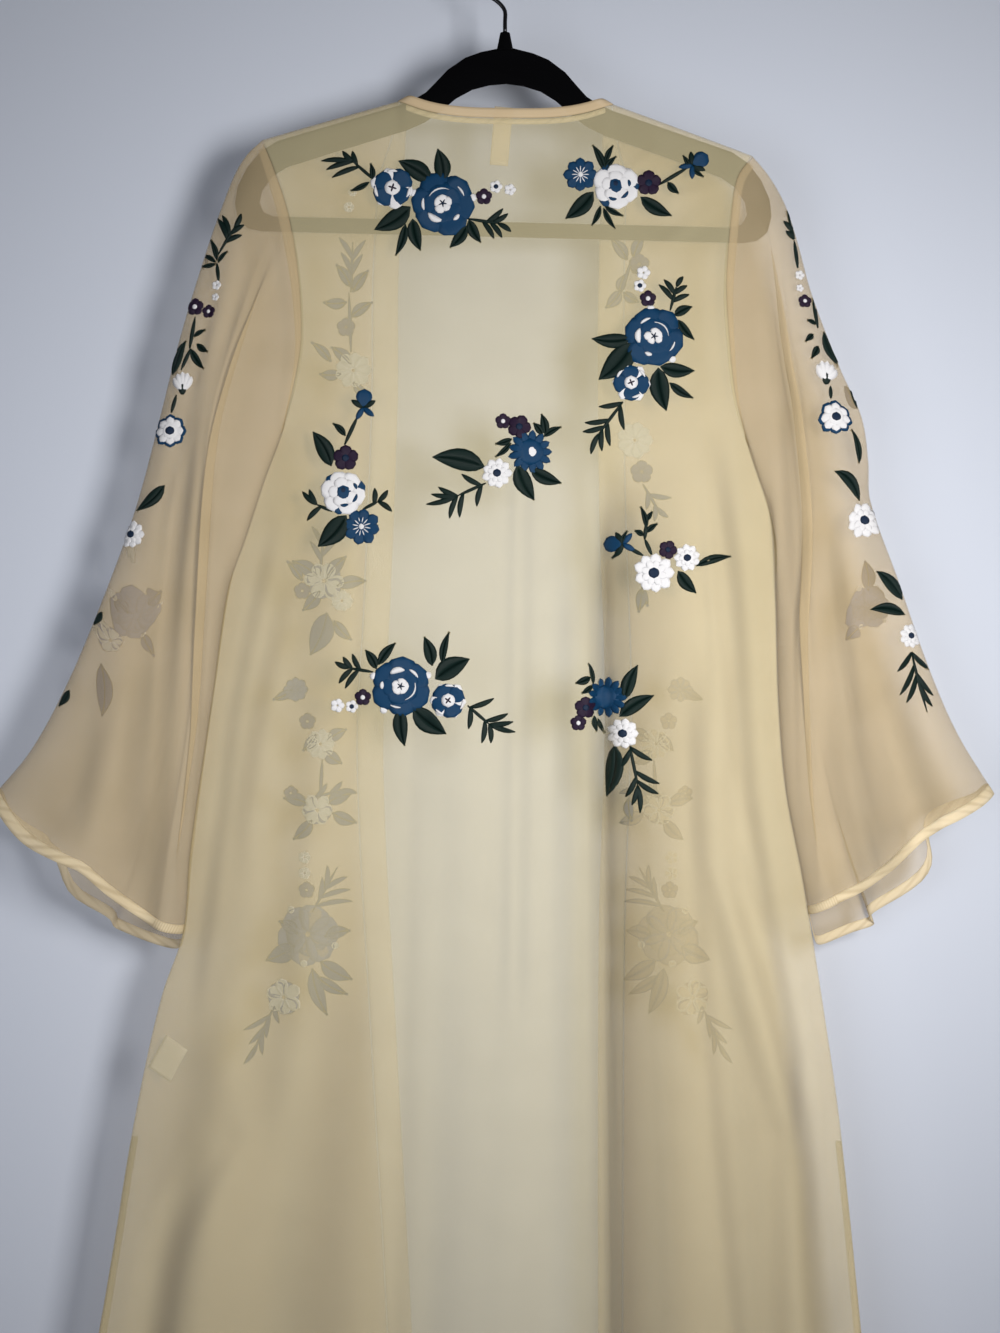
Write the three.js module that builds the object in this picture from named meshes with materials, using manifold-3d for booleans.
import * as THREE from 'three';
import Module from 'manifold-3d';
import { mergeVertices } from 'three/addons/utils/BufferGeometryUtils.js';

// A sheer kimono coat, open down the front, hanging on a slim flocked hanger.
// Lengths are millimetres. +Z is up, the back of the coat faces -Y, and +X is to the right
// of somebody who looks at the back. The origin is inside the top of the hook, and a "drop"
// is a distance below it. Cloth is given by the middle of its wall.

const { lerp, clamp, smoothstep } = THREE.MathUtils;
const wasm = await Module();
wasm.setup();

// Cloth walls and seams
const WALL = 1;
const LABEL_WALL = 0.9;
const SEAM = 0.8;
const ARMHOLE_SEAM = 1;
const LAYER = 1.8;
const SEAM_DEPTH = 0.65;

// The cut of the body
const HEM_DROP = 1320;
const PANEL_RUN = 1186;
const ARMHOLE_RUN = 238;
const SLIT_RUN = 830;
const SLIT_OFFSET = 5;
const SLIT_DEPTH = 12;
const NECK_POINT = { left: { x: -87, drop: 121 }, right: { x: 88, drop: 123.5 } };
const SHOULDER_FALL = { left: 0.285, right: 0.37 };
const NECK_DIP = 13.5;
const NECK_POWER = 3.2;
const OUTWARD = { left: -1, right: 1 };

// How far the cloth stands off the middle plane
const ARMHOLE_DEPTH = 10;
const EDGE_WIDTH = 70;
const FLARE_DEPTH = 3.35;
const FLARE_RUN = 2.5;
const NECK_DEPTH = 5.35;
const NECK_BEND = 4;
const NECK_FADE = 60;
const BODY_DEPTH = [
  { drop: 120, depth: 0 },
  { drop: 200, depth: 2.5 },
  { drop: 300, depth: 6 },
  { drop: 400, depth: 10 },
  { drop: 600, depth: 15 },
  { drop: 900, depth: 19 },
  { drop: 1320, depth: 23 },
];

// The two outer edges of the body: armhole, side seam, then slit
const SIDE = {
  left: [
    { drop: 152.5, x: -199 },
    { drop: 177, x: -189 },
    { drop: 210, x: -178 },
    { drop: 251, x: -170 },
    { drop: 300, x: -166 },
    { drop: 333, x: -168 },
    { drop: 390, x: -182 },
    { drop: 431, x: -197 },
    { drop: 480, x: -213 },
    { drop: 521, x: -227 },
    { drop: 604, x: -239 },
    { drop: 735, x: -258 },
    { drop: 803, x: -264 },
    { drop: 850, x: -280 },
    { drop: 903, x: -293 },
    { drop: 980, x: -308 },
    { drop: 1057, x: -320 },
    { drop: 1131, x: -332 },
    { drop: 1320, x: -366 },
  ],
  right: [
    { drop: 166.5, x: 202.5 },
    { drop: 182, x: 191 },
    { drop: 203, x: 186 },
    { drop: 266, x: 180.4 },
    { drop: 308, x: 182 },
    { drop: 366, x: 188.6 },
    { drop: 415, x: 203 },
    { drop: 473, x: 220.6 },
    { drop: 530, x: 222 },
    { drop: 612, x: 224 },
    { drop: 685, x: 230 },
    { drop: 759, x: 244 },
    { drop: 858, x: 260 },
    { drop: 964, x: 275 },
    { drop: 1131, x: 291 },
    { drop: 1320, x: 305 },
  ],
};

// The free edges of the two fronts, and the width of the band that finishes them
const OPENING = {
  left: [
    { drop: 121, x: -80 },
    { drop: 259, x: -87.7 },
    { drop: 366, x: -88.6 },
    { drop: 530, x: -95 },
    { drop: 661, x: -101 },
    { drop: 899, x: -90 },
    { drop: 1131, x: -78 },
    { drop: 1320, x: -72 },
  ],
  right: [
    { drop: 123.5, x: 81 },
    { drop: 284, x: 77 },
    { drop: 448, x: 78 },
    { drop: 612, x: 83 },
    { drop: 817, x: 78 },
    { drop: 1320, x: 78 },
  ],
};
const BAND_WIDTH = [
  { drop: 123, width: 7 },
  { drop: 150, width: 12 },
  { drop: 190, width: 21 },
  { drop: 1320, width: 21 },
];
const NECK_BAND_HEIGHT = 7;
const NECK_POINT_RISE = 4;
const NECK_BAND_LEAN = 8;

// Hanging folds of the back: a path down the cloth, how far it stands out (below 0: sinks in),
// and the half width of its trough or ridge
const BACK_FOLDS = [
  {
    name: 'middle trough', depth: -11, width: 24, from: 400, to: 1400,
    path: [{ drop: 431, x: 75 }, { drop: 700, x: 79 }, { drop: 1131, x: 83 }, { drop: 1320, x: 88 }],
  },
  {
    name: 'middle ridge', depth: 8, width: 26, from: 470, to: 1400,
    path: [{ drop: 520, x: 63 }, { drop: 700, x: 60 }, { drop: 1131, x: 57 }, { drop: 1320, x: 56 }],
  },
  {
    name: 'right ridge', depth: 7, width: 22, from: 540, to: 1250,
    path: [{ drop: 579, x: 174 }, { drop: 721, x: 170 }, { drop: 828, x: 193 }, { drop: 964, x: 234 }],
  },
  {
    name: 'right trough', depth: -7, width: 20, from: 330, to: 780,
    path: [{ drop: 366, x: 172 }, { drop: 521, x: 183 }, { drop: 650, x: 197 }, { drop: 762, x: 222 }],
  },
  {
    name: 'low right trough', depth: -8, width: 22, from: 700, to: 1100,
    path: [{ drop: 739, x: 183 }, { drop: 828, x: 215 }, { drop: 923, x: 242 }, { drop: 1000, x: 258 }],
  },
  {
    name: 'left crease', depth: -7, width: 24, from: 480, to: 780,
    path: [{ drop: 518, x: -188 }, { drop: 612, x: -210 }, { drop: 710, x: -227 }],
  },
  {
    name: 'low left trough', depth: -9, width: 28, from: 900, to: 1400,
    path: [{ drop: 967, x: -231 }, { drop: 1053, x: -275 }, { drop: 1131, x: -289 }, { drop: 1320, x: -318 }],
  },
  {
    name: 'faint ridge', depth: 4, width: 30, from: 560, to: 1300,
    path: [{ drop: 612, x: -33 }, { drop: 860, x: -33 }, { drop: 1320, x: -50 }],
  },
];
const FOLD_FADE = 90;
const BACK_WAVES = { count: 5, phase: 0.6, height: 9 };
const FRONT_WAVES = { count: 2.5, phase: 0.9, height: 11 };
const BAND_WAVE_SHARE = 0.05;
const WAVE_START = 500;

// The sleeves. "share" runs from the armhole (0) to the cuff (1) along the outer fold,
// and across the sleeve from the outer fold (0) to the underarm fold (1)
const SLEEVE = {
  left: {
    outer: [
      { share: 0, x: -199.8, drop: 152.5 },
      { share: 0.03, x: -212, drop: 164 },
      { share: 0.06, x: -221.5, drop: 179 },
      { share: 0.1, x: -230.5, drop: 201 },
      { share: 0.18, x: -246, drop: 245 },
      { share: 0.3, x: -267, drop: 315 },
      { share: 0.43, x: -285, drop: 387 },
      { share: 0.54, x: -302, drop: 451 },
      { share: 0.65, x: -323, drop: 511 },
      { share: 0.8, x: -357, drop: 594 },
      { share: 0.91, x: -388, drop: 652 },
      { share: 1, x: -421, drop: 692 },
    ],
    nearHem: [
      { share: 0, x: -421, drop: 692 },
      { share: 0.145, x: -398.5, drop: 717 },
      { share: 0.245, x: -383, drop: 729 },
      { share: 0.45, x: -351, drop: 743 },
      { share: 0.535, x: -338, drop: 749.5 },
      { share: 0.7, x: -312.4, drop: 777 },
      { share: 0.787, x: -299, drop: 789 },
      { share: 0.89, x: -283, drop: 798 },
      { share: 1, x: -266, drop: 803 },
    ],
    farHem: [
      { share: 0, x: -421, drop: 692 },
      { share: 0.2, x: -392, drop: 722 },
      { share: 0.45, x: -352, drop: 772 },
      { share: 0.7, x: -312, drop: 806 },
      { share: 0.88, x: -283, drop: 820 },
      { share: 1, x: -266, drop: 803 },
    ],
    pleat: [
      { along: 0.1, across: 0.34 },
      { along: 0.3, across: 0.4 },
      { along: 0.5, across: 0.66 },
      { along: 0.65, across: 0.86 },
      { along: 1, across: 0.95 },
    ],
  },
  right: {
    outer: [
      { share: 0, x: 203.3, drop: 166.5 },
      { share: 0.04, x: 217, drop: 183 },
      { share: 0.085, x: 230, drop: 206 },
      { share: 0.14, x: 240, drop: 236 },
      { share: 0.22, x: 251.7, drop: 279 },
      { share: 0.33, x: 274.5, drop: 339 },
      { share: 0.41, x: 292.5, drop: 380 },
      { share: 0.476, x: 298, drop: 416 },
      { share: 0.53, x: 299.5, drop: 448 },
      { share: 0.65, x: 321.5, drop: 511 },
      { share: 0.79, x: 348, drop: 587 },
      { share: 0.89, x: 370.6, drop: 639 },
      { share: 1, x: 400.5, drop: 688 },
    ],
    nearHem: [
      { share: 0, x: 400.5, drop: 688 },
      { share: 0.113, x: 384, drop: 698.6 },
      { share: 0.362, x: 347.5, drop: 716 },
      { share: 0.47, x: 331.6, drop: 725 },
      { share: 0.612, x: 310.8, drop: 751 },
      { share: 0.738, x: 292.4, drop: 768 },
      { share: 0.844, x: 276.8, drop: 775.7 },
      { share: 1, x: 254.5, drop: 787 },
    ],
    farHem: [
      { share: 0, x: 400.5, drop: 688 },
      { share: 0.25, x: 370, drop: 716 },
      { share: 0.55, x: 325, drop: 785 },
      { share: 0.8, x: 295, drop: 806 },
      { share: 0.93, x: 270, drop: 815 },
      { share: 1, x: 254.5, drop: 787 },
    ],
    pleat: [
      { along: 0.08, across: 0.1 },
      { along: 0.2, across: 0.25 },
      { along: 0.3, across: 0.36 },
      { along: 0.5, across: 0.64 },
      { along: 0.8, across: 0.85 },
      { along: 1, across: 0.95 },
    ],
  },
};
const SLEEVE_DEPTH = [
  { along: 0, near: 10.65, far: 10.65 },
  { along: 0.1, near: 10, far: 10 },
  { along: 0.3, near: 13, far: 14 },
  { along: 0.6, near: 18, far: 20 },
  { along: 0.85, near: 24, far: 28 },
  { along: 1, near: 30, far: 34 },
];
const CUFF_LIFT = [
  { across: 0, lift: 0 },
  { across: 0.25, lift: 8 },
  { across: 0.45, lift: 14 },
  { across: 0.6, lift: 4 },
  { across: 0.75, lift: -12 },
  { across: 0.9, lift: -4 },
  { across: 1, lift: 0 },
];
const UNDERARM_GAP = 2.6;
const UNDERARM_SPREAD = 10;
const PLEAT = { height: 6, width: 0.13, settled: 0.2 };
const CUFF_FOLDS = { start: 0.5, count: 1.5, lift: 12, sway: 11 };

// Blank labels, where they show through the back
const LABELS = [
  { name: 'neck_label', x: -4, drop: 153, width: 20, height: 45, turn: 5 },
  { name: 'care_label', x: -270, drop: 904, width: 25, height: 27, turn: 36 },
];

// The hanger, half outlines from its middle out to its tip, before it is tilted
const HANGER = { thickness: 4.4, bevel: 3, edge: 1.6, tilt: 1.4, pivotDrop: 150 };
const HANGER_OUTSIDE = [
  { x: 0, drop: 76.3 },
  { x: 21, drop: 81 },
  { x: 34, drop: 86 },
  { x: 48, drop: 96 },
  { x: 58, drop: 107 },
  { x: 66, drop: 115.5 },
  { x: 75, drop: 121 },
  { x: 87, drop: 126.4 },
  { x: 140, drop: 143.3 },
  { x: 186, drop: 158 },
  { x: 200, drop: 167 },
  { x: 211, drop: 181 },
  { x: 218, drop: 196 },
  { x: 220, drop: 210 },
  { x: 217, drop: 223 },
  { x: 209, drop: 230 },
  { x: 198, drop: 232 },
];
const HANGER_INSIDE = [
  { x: 0, drop: 106.4 },
  { x: 14, drop: 108 },
  { x: 28, drop: 112 },
  { x: 41, drop: 119.5 },
  { x: 53, drop: 130 },
  { x: 66, drop: 139.5 },
  { x: 80, drop: 146.2 },
  { x: 140, drop: 166 },
  { x: 178, drop: 179 },
  { x: 190, drop: 187 },
  { x: 198, drop: 199 },
  { x: 200, drop: 209 },
  { x: 196, drop: 217 },
  { x: 188, drop: 220 },
];
const FERRULE = { topDrop: 65, bottomDrop: 80, topRadius: 4, bottomRadius: 7, sides: 24 };
const MERGE_DISTANCE = 1e-4;
const HOOK = {
  radius: 20.7, wire: 3.4, sides: 8, steps: 44, arcPoints: 12, endAngle: -35,
  ferruleGap: 0.4, stemTop: 47, neckDrop: 33.6,
};
const HOOK_SWAY = [
  { x: -2.6, drop: 42.5 },
  { x: -8, drop: 37.6 },
];

const OPACITY = { cloth: 0.6, band: 0.85 };
const COLOURS = { cloth: 0xd8cfb2, band: 0xcdb98f, label: 0xe6dfcb, hanger: 0x0c0c0e, hook: 0xb9bcc0 };

// Reads one column of a table as a smooth curve over another column
function read(rows, key, value, at) {
  const last = rows.length - 1;
  const place = clamp(at, rows[0][key], rows[last][key]);
  let i = 0;
  while (i < last - 1 && rows[i + 1][key] < place) {
    i += 1;
  }
  const slope = (j) => {
    const before = rows[Math.max(j - 1, 0)];
    const after = rows[Math.min(j + 1, last)];
    return (after[value] - before[value]) / (after[key] - before[key]);
  };
  const span = rows[i + 1][key] - rows[i][key];
  const t = (place - rows[i][key]) / span;
  const start = (1 + 2 * t) * (1 - t) ** 2 * rows[i][value];
  const end = t * t * (3 - 2 * t) * rows[i + 1][value];
  const bend = t * (1 - t) ** 2 * slope(i) - t * t * (1 - t) * slope(i + 1);
  return start + end + bend * span;
}

function halfEllipse(share) {
  return 2 * Math.sqrt(Math.max(share * (1 - share), 0));
}

// The upper edge of the coat: the back neck in the middle, a shoulder seam at each side
function topDrop(x) {
  const side = x < 0 ? 'left' : 'right';
  const neck = NECK_POINT[side];
  const beyond = Math.abs(x) - Math.abs(neck.x);
  if (beyond > 0) {
    return neck.drop + SHOULDER_FALL[side] * beyond;
  }
  const { left, right } = NECK_POINT;
  const base = lerp(left.drop, right.drop, (x - left.x) / (right.x - left.x));
  return base + NECK_DIP * (1 - Math.abs(x / neck.x) ** NECK_POWER);
}

function panelDrop(top, run) {
  return top + (run * (HEM_DROP - top)) / PANEL_RUN;
}

function sideX(side, drop, run, facing) {
  const spread = facing > 0 ? SLIT_OFFSET * smoothstep(run, SLIT_RUN, PANEL_RUN) : 0;
  return read(SIDE[side], 'drop', 'x', drop) + OUTWARD[side] * spread;
}

function seamX(side, drop) {
  return read(OPENING[side], 'drop', 'x', drop) + OUTWARD[side] * read(BAND_WIDTH, 'drop', 'width', drop);
}

function edgeDepth(run) {
  if (run < ARMHOLE_RUN) {
    return SEAM_DEPTH + ARMHOLE_DEPTH * halfEllipse(run / ARMHOLE_RUN);
  }
  return SEAM_DEPTH + SLIT_DEPTH * smoothstep(run, SLIT_RUN, PANEL_RUN);
}

function innerDepth(x, run, drop, facing) {
  const inside = Math.abs(NECK_POINT[x < 0 ? 'left' : 'right'].x) - Math.abs(x);
  const overHanger = facing < 0 && inside > 0 ? 1 - Math.exp(-inside / NECK_BEND) : 0;
  const neck = overHanger * Math.exp(-run / NECK_FADE);
  const flare = (1 - neck) * (1 - Math.exp(-run / FLARE_RUN));
  return SEAM_DEPTH + NECK_DEPTH * neck + FLARE_DEPTH * flare + read(BODY_DEPTH, 'drop', 'depth', drop);
}

function waves({ count, phase, height }, share, drop) {
  const grown = height * smoothstep(drop, WAVE_START, HEM_DROP);
  return grown * Math.sin(2 * Math.PI * (count * share + phase));
}

function backFolds(x, drop) {
  let sum = 0;
  for (const fold of BACK_FOLDS) {
    const away = (x - read(fold.path, 'drop', 'x', drop)) / fold.width;
    const shown = smoothstep(drop, fold.from, fold.from + FOLD_FADE)
      * (1 - smoothstep(drop, fold.to - FOLD_FADE, fold.to));
    if (Math.abs(away) < 1) {
      sum += fold.depth * shown * 0.5 * (1 + Math.cos(Math.PI * away));
    }
  }
  return sum;
}

// A point of the back (facing -1) or of a front (facing 1)
function bodyPoint(x, run, drop, facing, relief) {
  const left = x - sideX('left', drop, run, facing);
  const right = sideX('right', drop, run, facing) - x;
  const near = clamp(Math.min(left, right) / EDGE_WIDTH, 0, 1);
  const rounding = 1 - (1 - near) ** 2;
  const full = innerDepth(x, run, drop, facing) + relief;
  const depth = lerp(edgeDepth(run), full, rounding);
  return new THREE.Vector3(x, facing * depth, -drop);
}

function backPoint(share, run) {
  const shoulder = { left: SIDE.left[0], right: SIDE.right[0] };
  const drop = panelDrop(topDrop(lerp(shoulder.left.x, shoulder.right.x, share)), run);
  const x = lerp(sideX('left', drop, run, -1), sideX('right', drop, run, -1), share);
  return bodyPoint(x, run, drop, -1, waves(BACK_WAVES, share, drop) + backFolds(x, drop));
}

// The back at a place of its own outline, moved inwards by "inset"
function backAt(x, drop, inset) {
  const left = read(SIDE.left, 'drop', 'x', drop);
  const right = read(SIDE.right, 'drop', 'x', drop);
  const share = (x - left) / (right - left);
  const top = topDrop(lerp(SIDE.left[0].x, SIDE.right[0].x, share));
  const run = Math.max(((drop - top) * PANEL_RUN) / (HEM_DROP - top), 0);
  const relief = waves(BACK_WAVES, share, drop) + backFolds(x, drop);
  const point = bodyPoint(x, run, drop, -1, relief);
  point.y += inset;
  return point;
}

// Across a front, share 0 is the side and 1 is the seam of its band
function frontPoint(side, share, run) {
  const top = topDrop(lerp(SIDE[side][0].x, NECK_POINT[side].x, share));
  const drop = panelDrop(top, run);
  const x = lerp(sideX(side, drop, run, 1), seamX(side, drop), share);
  return bodyPoint(x, run, drop, 1, waves(FRONT_WAVES, share, drop));
}

// Across a front band, share 0 is its seam and 1 is the free edge
function frontBandPoint(side, share, run) {
  const top = NECK_POINT[side].drop - NECK_POINT_RISE * share;
  const drop = panelDrop(top, run);
  const seam = seamX(side, drop) - OUTWARD[side] * SEAM;
  const x = lerp(seam, read(OPENING[side], 'drop', 'x', drop), share);
  return bodyPoint(x, run, drop, 1, waves(FRONT_WAVES, 1 + BAND_WAVE_SHARE * share, drop));
}

// Along the neck band, place runs from the left neck point (-1) to the right one (1)
function neckBandPoint(place, rise) {
  const side = place < 0 ? 'left' : 'right';
  const x = NECK_POINT[side].x * Math.abs(place);
  const seam = bodyPoint(x, 0, topDrop(x), -1, 0);
  const lean = Math.abs(place) ** NECK_BAND_LEAN;
  const slope = NECK_POINT_RISE / NECK_BAND_HEIGHT;
  const across = new THREE.Vector3(-OUTWARD[side] * lean, 0, lerp(1, slope, lean));
  seam.addScaledVector(across.normalize(), SEAM + rise * NECK_BAND_HEIGHT);
  return seam;
}

// The outer edge of the panels, straight between two of their rows as their walls are
function panelEdgeX(side, drop) {
  const top = topDrop(SIDE[side][0].x);
  const drops = RUNS.map((run) => panelDrop(top, run));
  const below = Math.max(drops.findIndex((row) => row >= drop), 1);
  const [from, to] = [below - 1, below].map((i) => sideX(side, drops[i], RUNS[i], -1));
  return lerp(from, to, (drop - drops[below - 1]) / (drops[below] - drops[below - 1]));
}

function coons(edges, across, along) {
  const { start, end, first, last } = edges;
  const ends = lerp(start(across), end(across), along);
  const sides = lerp(first(along), last(along), across);
  const corners = lerp(lerp(start(0), start(1), across), lerp(end(0), end(1), across), along);
  return ends + sides - corners;
}

// A sleeve between its armhole, cuff, outer fold and underarm fold; the near layer is the back's
function sleevePoint(side, layer, across, along) {
  const cut = SLEEVE[side];
  const shoulderDrop = topDrop(SIDE[side][0].x);
  const underarmDrop = panelDrop(shoulderDrop, ARMHOLE_RUN);
  const cuffDrop = cut.nearHem.at(-1).drop;
  const beside = (drop, gap) => panelEdgeX(side, drop) + OUTWARD[side] * gap;
  const armhole = (share, key) => {
    const drop = lerp(shoulderDrop, underarmDrop, share);
    return key === 'drop' ? drop : beside(drop, lerp(ARMHOLE_SEAM, UNDERARM_GAP, share ** UNDERARM_SPREAD));
  };
  const underarm = (share, key) => {
    const drop = lerp(underarmDrop, cuffDrop, share);
    return key === 'drop' ? drop : beside(drop, UNDERARM_GAP);
  };
  const hem = layer < 0 ? cut.nearHem : cut.farHem;
  const cuffShift = underarm(1, 'x') - hem.at(-1).x;
  const place = (key) => coons({
    start: (share) => armhole(share, key),
    end: (share) => read(hem, 'share', key, share) + (key === 'x' ? cuffShift * share : 0),
    first: (share) => {
      const start = armhole(0, key) - cut.outer[0][key];
      return read(cut.outer, 'share', key, share) + start * (1 - share);
    },
    last: (share) => underarm(share, key),
  }, across, along);
  const round = halfEllipse(across);
  const grown = smoothstep(along, CUFF_FOLDS.start, 1);
  let x = place('x');
  let depth = read(SLEEVE_DEPTH, 'along', layer < 0 ? 'near' : 'far', along) * round;
  if (layer < 0) {
    const off = (across - read(cut.pleat, 'along', 'across', along)) / PLEAT.width;
    const ridge = Math.abs(off) < 1 ? 0.5 * (1 + Math.cos(Math.PI * off)) : 0;
    depth += read(CUFF_LIFT, 'across', 'lift', across) * grown;
    depth += PLEAT.height * ridge * round * smoothstep(along, 0, PLEAT.settled);
  } else {
    const angle = 2 * Math.PI * CUFF_FOLDS.count * across;
    depth += CUFF_FOLDS.lift * grown * round * Math.sin(angle);
    x += OUTWARD[side] * CUFF_FOLDS.sway * grown * round * Math.sin(2 * angle);
  }
  return new THREE.Vector3(x, layer * depth, -place('drop'));
}

// A closed cloth wall round a grid of points; a ring's last column joins its first
function wall(grid, isRing, thickness) {
  const rows = grid.length;
  const columns = grid[0].length;
  const at = (row, column) => grid[clamp(row, 0, rows - 1)][
    isRing ? (column + columns) % columns : clamp(column, 0, columns - 1)];
  const positions = [];
  for (const face of [0.5, -0.5]) {
    for (let row = 0; row < rows; row += 1) {
      for (let column = 0; column < columns; column += 1) {
        const down = at(row + 1, column).clone().sub(at(row - 1, column));
        const over = at(row, column + 1).clone().sub(at(row, column - 1));
        const normal = over.cross(down).normalize();
        positions.push(...at(row, column).clone().addScaledVector(normal, face * thickness).toArray());
      }
    }
  }
  const index = [];
  const vertex = (face, row, column) => (face * rows + row) * columns + (column % columns);
  const quad = (a, b, c, d) => index.push(a, b, c, a, c, d);
  const cells = isRing ? columns : columns - 1;
  for (let row = 0; row < rows - 1; row += 1) {
    for (let column = 0; column < cells; column += 1) {
      const corners = (face) => [
        vertex(face, row, column), vertex(face, row, column + 1),
        vertex(face, row + 1, column + 1), vertex(face, row + 1, column),
      ];
      quad(...corners(0));
      const [a, b, c, d] = corners(1);
      quad(a, d, c, b);
    }
  }
  for (let column = 0; column < cells; column += 1) {
    quad(vertex(0, 0, column + 1), vertex(0, 0, column), vertex(1, 0, column), vertex(1, 0, column + 1));
    const end = rows - 1;
    quad(vertex(0, end, column), vertex(0, end, column + 1),
      vertex(1, end, column + 1), vertex(1, end, column));
  }
  for (let row = 0; row < rows - 1 && !isRing; row += 1) {
    const end = columns - 1;
    quad(vertex(0, row, 0), vertex(0, row + 1, 0), vertex(1, row + 1, 0), vertex(1, row, 0));
    quad(vertex(0, row + 1, end), vertex(0, row, end), vertex(1, row, end), vertex(1, row + 1, end));
  }
  return closed(positions, index);
}

// Turns the faces outwards where the walk round the grid ran the other way
function closed(positions, index) {
  const corner = (i) => new THREE.Vector3().fromArray(positions, 3 * index[i]);
  let volume = 0;
  for (let i = 0; i < index.length; i += 3) {
    volume += corner(i).dot(corner(i + 1).cross(corner(i + 2)));
  }
  const geometry = new THREE.BufferGeometry();
  geometry.setAttribute('position', new THREE.Float32BufferAttribute(positions, 3));
  geometry.setIndex(volume > 0 ? index : index.toReversed());
  geometry.computeVertexNormals();
  return geometry;
}

function grid(rowShares, columnShares, point) {
  return rowShares.map((row) => columnShares.map((column) => point(column, row)));
}

function steps(count, from = 0, to = 1) {
  return Array.from({ length: count + 1 }, (_, i) => lerp(from, to, i / count));
}

function easedSteps(count) {
  return steps(count).map((share) => (1 - Math.cos(Math.PI * share)) / 2);
}

function material(colour, opacity = 1) {
  return new THREE.MeshStandardMaterial({
    color: colour, roughness: 0.85, metalness: 0, transparent: opacity < 1, opacity,
  });
}

const coat = new THREE.Group();

function add(name, geometry, look) {
  const mesh = new THREE.Mesh(geometry, look);
  mesh.name = name;
  coat.add(mesh);
}

// Rows of the body run down the armhole, then to the top of the slit, then to the hem
const ROWS = { armhole: 10, side: 8, slit: 5 };
const RUNS = [
  ...easedSteps(ROWS.armhole).map((share) => share * ARMHOLE_RUN),
  ...steps(ROWS.side, ARMHOLE_RUN, SLIT_RUN).slice(1),
  ...steps(ROWS.slit, SLIT_RUN, PANEL_RUN).slice(1),
];
const COLUMNS = { shoulder: 9, neck: 22, front: 13, band: 2, neckBand: 20 };
const SHOULDER_SPAN = SIDE.right[0].x - SIDE.left[0].x;
const NECK_SHARE = {
  left: (NECK_POINT.left.x - SIDE.left[0].x) / SHOULDER_SPAN,
  right: (NECK_POINT.right.x - SIDE.left[0].x) / SHOULDER_SPAN,
};

function addBody() {
  const cloth = material(COLOURS.cloth, OPACITY.cloth);
  const band = material(COLOURS.band, OPACITY.band);
  const backColumns = [
    ...steps(COLUMNS.shoulder, 0, NECK_SHARE.left),
    ...steps(COLUMNS.neck, NECK_SHARE.left, NECK_SHARE.right).slice(1),
    ...steps(COLUMNS.shoulder, NECK_SHARE.right, 1).slice(1),
  ];
  add('back', wall(grid(RUNS, backColumns, backPoint), false, WALL), cloth);
  for (const side of ['left', 'right']) {
    const front = grid(RUNS, steps(COLUMNS.front), (share, run) => frontPoint(side, share, run));
    add(`front_${side}`, wall(front, false, WALL), cloth);
    const strip = grid(RUNS, steps(COLUMNS.band), (share, run) => frontBandPoint(side, share, run));
    add(`front_band_${side}`, wall(strip, false, WALL), band);
  }
  const places = easedSteps(COLUMNS.neckBand).map((share) => 2 * share - 1);
  add('neck_band', wall(grid(steps(COLUMNS.band), places, neckBandPoint), false, WALL), band);
}

// A sleeve is a tube: each ring runs down its near layer and back up its far layer
const SLEEVE_STEPS = { across: 30, along: 13, crowding: 1.35 };

function addSleeve(side) {
  const half = easedSteps(SLEEVE_STEPS.across);
  const ring = [
    ...half.map((across) => ({ layer: -1, across })),
    ...half.slice(1, -1).reverse().map((across) => ({ layer: 1, across })),
  ];
  const stations = steps(SLEEVE_STEPS.along).map((share) => share ** SLEEVE_STEPS.crowding);
  const rings = grid(stations, ring, ({ layer, across }, along) => sleevePoint(side, layer, across, along));
  add(`sleeve_${side}`, wall(rings, true, WALL), material(COLOURS.cloth, OPACITY.cloth));
}

// A label follows the inside of the back, a little way off it
function addLabel({ name, x, drop, width, height, turn }) {
  const angle = THREE.MathUtils.degToRad(turn);
  const label = grid(steps(4, -0.5, 0.5), steps(2, -0.5, 0.5), (across, down) => {
    const sideways = across * width * Math.cos(angle) - down * height * Math.sin(angle);
    const below = across * width * Math.sin(angle) + down * height * Math.cos(angle);
    return backAt(x + sideways, drop + below, LAYER);
  });
  add(name, wall(label, false, LABEL_WALL), material(COLOURS.label));
}

function outline(rows) {
  const right = rows.map(({ x, drop }) => new THREE.Vector2(x, -drop));
  const left = right.slice(1).reverse().map(({ x, y }) => new THREE.Vector2(-x, y));
  return [...right, ...left];
}

function solid(geometry) {
  geometry.deleteAttribute('normal');
  geometry.deleteAttribute('uv');
  const merged = mergeVertices(geometry, MERGE_DISTANCE);
  return new wasm.Manifold(new wasm.Mesh({
    numProp: 3,
    vertProperties: new Float32Array(merged.attributes.position.array),
    triVerts: new Uint32Array(merged.index.array),
  }));
}

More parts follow.
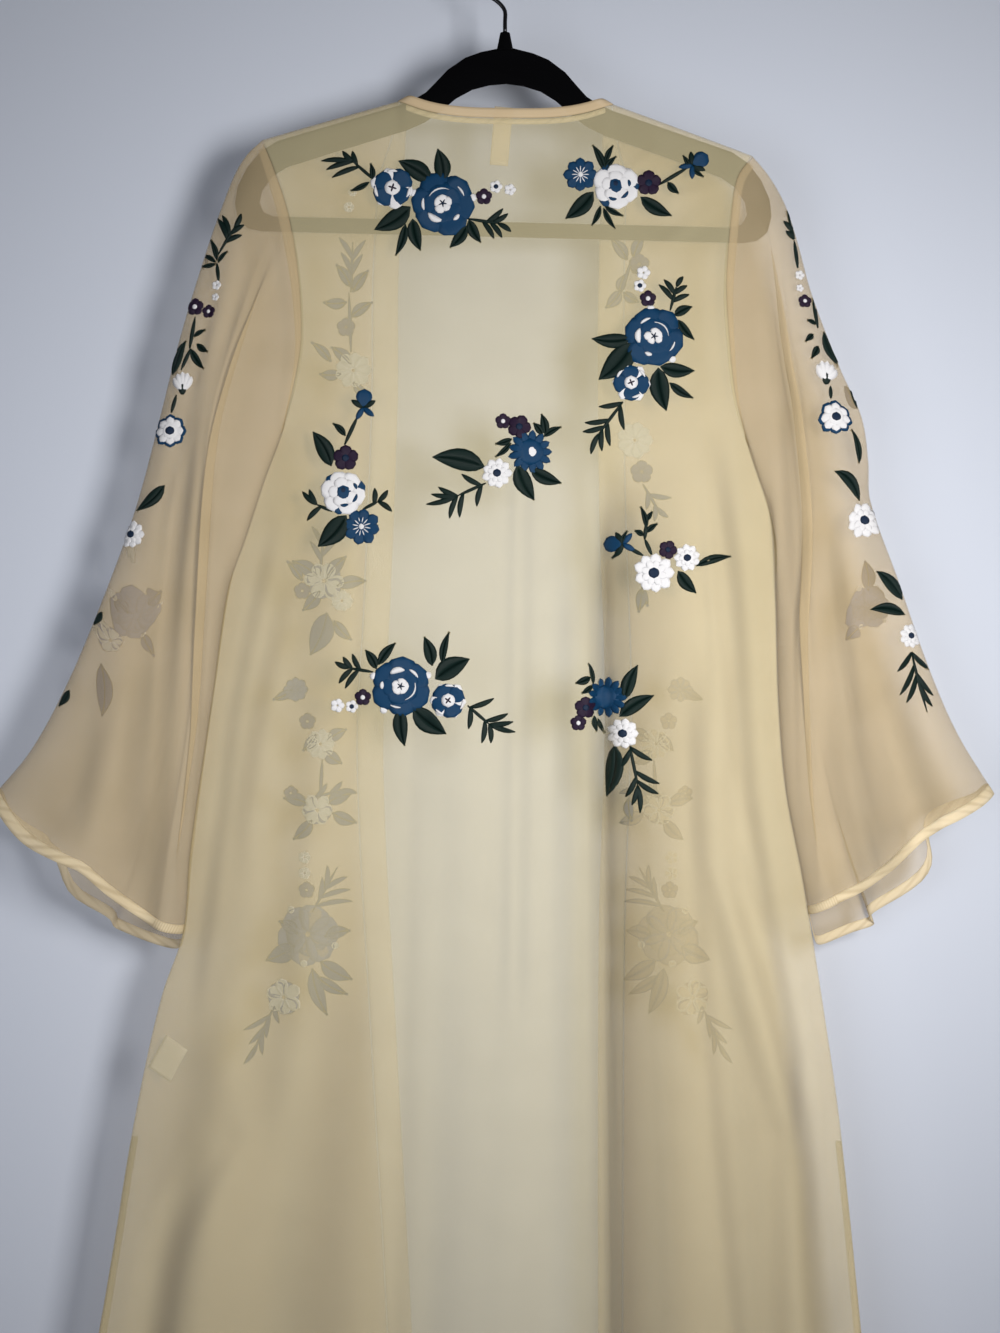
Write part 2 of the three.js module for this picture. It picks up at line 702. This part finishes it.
function addHanger() {
  const { thickness, bevel, edge, tilt, pivotDrop } = HANGER;
  const shape = new THREE.Shape(outline(HANGER_OUTSIDE));
  shape.holes.push(new THREE.Path(outline(HANGER_INSIDE).reverse()));
  const plate = new THREE.ExtrudeGeometry(shape, {
    depth: edge,
    bevelThickness: (thickness - edge) / 2,
    bevelSize: bevel,
    bevelOffset: -bevel,
    bevelSegments: 1,
  });
  plate.translate(0, 0, -edge / 2);
  plate.rotateX(Math.PI / 2);
  plate.translate(0, 0, pivotDrop);
  plate.rotateY(THREE.MathUtils.degToRad(tilt));
  plate.translate(0, 0, -pivotDrop);
  const { topDrop: top, bottomDrop: bottom, topRadius, bottomRadius, sides } = FERRULE;
  const height = bottom - top;
  const cone = new THREE.CylinderGeometry(topRadius, bottomRadius, height, sides);
  cone.rotateX(Math.PI / 2);
  cone.translate(0, 0, -(top + bottom) / 2);
  const joined = solid(plate).add(solid(cone)).getMesh();
  add('hanger_body', closed(Array.from(joined.vertProperties), Array.from(joined.triVerts)),
    material(COLOURS.hanger));
}

// The hook's wire rises from the ferrule, sways to the left and runs clockwise round the rail
function addHook() {
  const { radius, wire, sides, steps: count, endAngle, stemTop, neckDrop } = HOOK;
  const centreDrop = radius - wire / 2;
  const stem = FERRULE.topDrop - HOOK.ferruleGap;
  const points = [
    new THREE.Vector3(0, 0, -stem),
    new THREE.Vector3(0, 0, -(stem + stemTop) / 2),
    new THREE.Vector3(0, 0, -stemTop),
    ...HOOK_SWAY.map(({ x, drop }) => new THREE.Vector3(x, 0, -drop)),
  ];
  const startAngle = 180 + THREE.MathUtils.radToDeg(Math.asin((neckDrop - centreDrop) / radius));
  for (const share of steps(HOOK.arcPoints)) {
    const angle = THREE.MathUtils.degToRad(lerp(startAngle, endAngle, share));
    points.push(new THREE.Vector3(radius * Math.cos(angle), 0, radius * Math.sin(angle) - centreDrop));
  }
  const section = new THREE.Shape();
  section.absarc(0, 0, wire / 2, 0, 2 * Math.PI);
  const geometry = new THREE.ExtrudeGeometry(section, {
    steps: count, curveSegments: sides / 2, extrudePath: new THREE.CatmullRomCurve3(points),
  });
  const look = new THREE.MeshStandardMaterial({ color: COLOURS.hook, roughness: 0.25, metalness: 1 });
  add('hanger_hook', geometry, look);
}

addBody();
addSleeve('left');
addSleeve('right');
LABELS.forEach(addLabel);
addHanger();
addHook();

export default coat;
